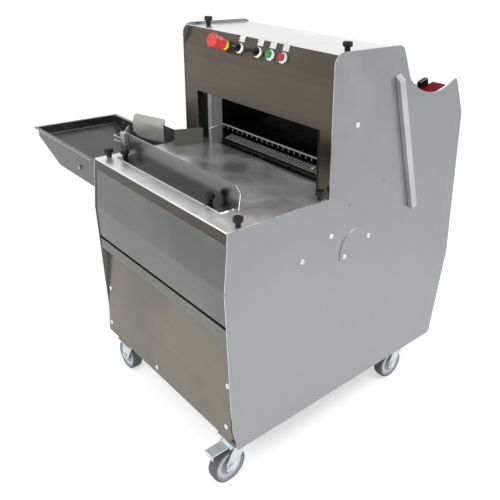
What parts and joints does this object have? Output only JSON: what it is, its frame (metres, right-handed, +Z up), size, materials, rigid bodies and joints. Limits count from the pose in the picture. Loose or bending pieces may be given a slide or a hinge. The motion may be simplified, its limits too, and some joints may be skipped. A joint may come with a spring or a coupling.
{
  "type": "bread slicer machine",
  "caption": "Floor-standing bread slicer on swivel castors, with tilted reciprocating blade frames, an output table with fence, a side bagging trough and a rear infeed chute.",
  "frame": {"origin": "on the floor, under the middle of the side panels' width and of their bottom edge", "axes": "+Z up, -Y to the front where the loaf comes out, +X to the right seen from the front; the bagging trough is towards -X"},
  "size_m": [1.113, 0.9148, 1.135],
  "materials": {
    "satin_steel": "satin stainless sheet",
    "hood_steel": "bright stainless sheet that mirrors the room",
    "table_steel": "bright polished stainless sheet",
    "plain_steel": "plain machined steel",
    "blade_steel": "thin ground blade steel",
    "zinc": "bright zinc plate",
    "frame_paint": "grey paint",
    "motor_paint": "blue grey paint",
    "belt_rubber": "black rubber",
    "wheel_rubber": "grey rubber on a grey wheel body",
    "black_plastic": "black moulded plastic",
    "white_plastic": "white moulded plastic",
    "red_plastic": "red moulded plastic",
    "green_plastic": "green moulded plastic",
    "grip_red": "dark red glossy plastic"
  },
  "bodies": {
    "machine": {"left_side_panel": "satin_steel", "right_side_panel": "satin_steel", "base_frame": "frame_paint", "front_apron": "satin_steel", "lower_front_panel": "satin_steel", "rear_panel": "satin_steel", "output_table": "table_steel", "inner_rails": "plain_steel", "crumb_tray": "plain_steel", "thumb_knobs": "black_plastic", "corner_guide": "table_steel", "nozzle_plate": "table_steel", "bagging_trough": "satin_steel", "trough_bracket": "satin_steel", "hood_front": "hood_steel", "top_cover": "hood_steel", "control_collars": "white_plastic", "label_plates": "white_plastic", "tunnel_walls": "hood_steel", "loaf_grid": "table_steel", "infeed_chute": "satin_steel", "pusher_rail": "plain_steel", "blade_guides": "plain_steel", "guide_covers": "satin_steel", "drive_stand": "frame_paint", "motor": "motor_paint", "drive_belt": "belt_rubber", "control_box": "frame_paint", "access_cover": "satin_steel", "panel_screws": "plain_steel", "castor_plates": "zinc"},
    "estop": {"estop_button": "red_plastic"},
    "start": {"start_button": "green_plastic"},
    "stop": {"stop_button": "red_plastic"},
    "selector_1": {"selector_left": "black_plastic"},
    "selector_2": {"selector_right": "black_plastic"},
    "fence_slider": {"fence": "table_steel", "fence_knobs": "black_plastic", "bag_clamp": "zinc"},
    "clamp_lever": {"bag_clamp_lever": "zinc"},
    "bail": {"hold_down_bail": "table_steel"},
    "pusher": {"pusher_carriage": "black_plastic", "pusher_grip": "grip_red"},
    "frame_a": {"blade_frame_a": "plain_steel", "blades_a": "blade_steel"},
    "frame_b": {"blade_frame_b": "plain_steel", "blades_b": "blade_steel"},
    "crank": {"crankshaft": "plain_steel"},
    "rod_a": {"conrod_a": "plain_steel"},
    "rod_b": {"conrod_b": "plain_steel"},
    "motor_rotor": {"motor_pulley": "plain_steel"},
    "pedal": {"brake_pedal": "zinc"},
    "castor_fl": {"castor_fork_fl": "zinc"},
    "wheel_fl": {"castor_wheel_fl": "wheel_rubber"},
    "castor_fr": {"castor_fork_fr": "zinc"},
    "wheel_fr": {"castor_wheel_fr": "wheel_rubber"},
    "castor_rl": {"castor_fork_rl": "zinc"},
    "wheel_rl": {"castor_wheel_rl": "wheel_rubber"},
    "castor_rr": {"castor_fork_rr": "zinc"},
    "wheel_rr": {"castor_wheel_rr": "wheel_rubber"}
  },
  "joints": [
    {"name": "estop_push", "type": "slide", "parent": "machine", "child": "estop", "axis": [0, 0.9285, -0.3714], "range_m": [0, 0.005]},
    {"name": "start_push", "type": "slide", "parent": "machine", "child": "start", "axis": [0, 0.9285, -0.3714], "range_m": [0, 0.004], "stiffness_N_per_m": 200},
    {"name": "stop_push", "type": "slide", "parent": "machine", "child": "stop", "axis": [0, 0.9285, -0.3714], "range_m": [0, 0.004], "stiffness_N_per_m": 200},
    {"name": "selector_1_turn", "type": "hinge", "parent": "machine", "child": "selector_1", "pos_m": [-0.054, -0.09764, 1.0749], "axis": [0, -0.9285, 0.3714], "range_deg": [-45, 45]},
    {"name": "selector_2_turn", "type": "hinge", "parent": "machine", "child": "selector_2", "pos_m": [0.027, -0.09764, 1.0749], "axis": [0, -0.9285, 0.3714], "range_deg": [-45, 45]},
    {"name": "fence_adjust", "type": "slide", "parent": "machine", "child": "fence_slider", "axis": [0, 1, 0], "range_m": [-0.012, 0.09]},
    {"name": "clamp_lever_swing", "type": "hinge", "parent": "fence_slider", "child": "clamp_lever", "pos_m": [-0.294, -0.339, 0.78], "axis": [0, 1, 0], "range_deg": [-10, 2], "stiffness_Nm_per_rad": 0.5},
    {"name": "bail_swing", "type": "hinge", "parent": "machine", "child": "bail", "pos_m": [0, -0.07, 0.808], "axis": [1, 0, 0], "range_deg": [0, 75]},
    {"name": "pusher_travel", "type": "slide", "parent": "machine", "child": "pusher", "axis": [0, -0.9659, -0.2588], "range_m": [0, 0.115]},
    {"name": "frame_a_stroke", "type": "slide", "parent": "machine", "child": "frame_a", "axis": [0, -0.2588, 0.9659], "range_m": [-0.025, 0.025]},
    {"name": "frame_b_stroke", "type": "slide", "parent": "machine", "child": "frame_b", "axis": [0, -0.2588, 0.9659], "range_m": [-0.025, 0.025]},
    {"name": "crank_turn", "type": "hinge", "parent": "machine", "child": "crank", "pos_m": [0, 0.30664, 0.36835], "axis": [1, 0, 0], "continuous": true},
    {"name": "rod_a_turn", "type": "hinge", "parent": "crank", "child": "rod_a", "pos_m": [-0.124, 0.2825, 0.36188], "axis": [1, 0, 0], "continuous": true},
    {"name": "rod_b_turn", "type": "hinge", "parent": "crank", "child": "rod_b", "pos_m": [0.124, 0.33079, 0.37483], "axis": [1, 0, 0], "continuous": true},
    {"name": "motor_turn", "type": "hinge", "parent": "machine", "child": "motor_rotor", "pos_m": [0, 0.04, 0.26], "axis": [1, 0, 0], "continuous": true},
    {"name": "castor_fl_swivel", "type": "hinge", "parent": "machine", "child": "castor_fl", "pos_m": [-0.28, -0.366, 0.115], "axis": [0, 0, 1], "continuous": true},
    {"name": "wheel_fl_roll", "type": "hinge", "parent": "castor_fl", "child": "wheel_fl", "pos_m": [-0.318, -0.366, 0.05], "axis": [0, 1, 0], "continuous": true},
    {"name": "castor_fr_swivel", "type": "hinge", "parent": "machine", "child": "castor_fr", "pos_m": [0.28, -0.366, 0.115], "axis": [0, 0, 1], "continuous": true},
    {"name": "wheel_fr_roll", "type": "hinge", "parent": "castor_fr", "child": "wheel_fr", "pos_m": [0.28, -0.404, 0.05], "axis": [1, 0, 0], "continuous": true},
    {"name": "castor_rl_swivel", "type": "hinge", "parent": "machine", "child": "castor_rl", "pos_m": [-0.28, 0.29, 0.115], "axis": [0, 0, 1], "continuous": true},
    {"name": "wheel_rl_roll", "type": "hinge", "parent": "castor_rl", "child": "wheel_rl", "pos_m": [-0.28, 0.252, 0.05], "axis": [1, 0, 0], "continuous": true},
    {"name": "castor_rr_swivel", "type": "hinge", "parent": "machine", "child": "castor_rr", "pos_m": [0.28, 0.29, 0.115], "axis": [0, 0, 1], "continuous": true},
    {"name": "wheel_rr_roll", "type": "hinge", "parent": "castor_rr", "child": "wheel_rr", "pos_m": [0.28, 0.252, 0.05], "axis": [1, 0, 0], "continuous": true},
    {"name": "pedal_tip", "type": "hinge", "parent": "castor_fr", "child": "pedal", "pos_m": [0.28, -0.402, 0.1136], "axis": [1, 0, 0], "range_deg": [0, 15]}
  ],
  "couplings": [
    {"joint": "frame_b_stroke", "follows": "frame_a_stroke", "ratio": -1},
    {"joint": "rod_a_turn", "follows": "crank_turn", "ratio": -1},
    {"joint": "rod_b_turn", "follows": "crank_turn", "ratio": -1},
    {"joint": "motor_turn", "follows": "crank_turn", "ratio": 2.5}
  ]
}
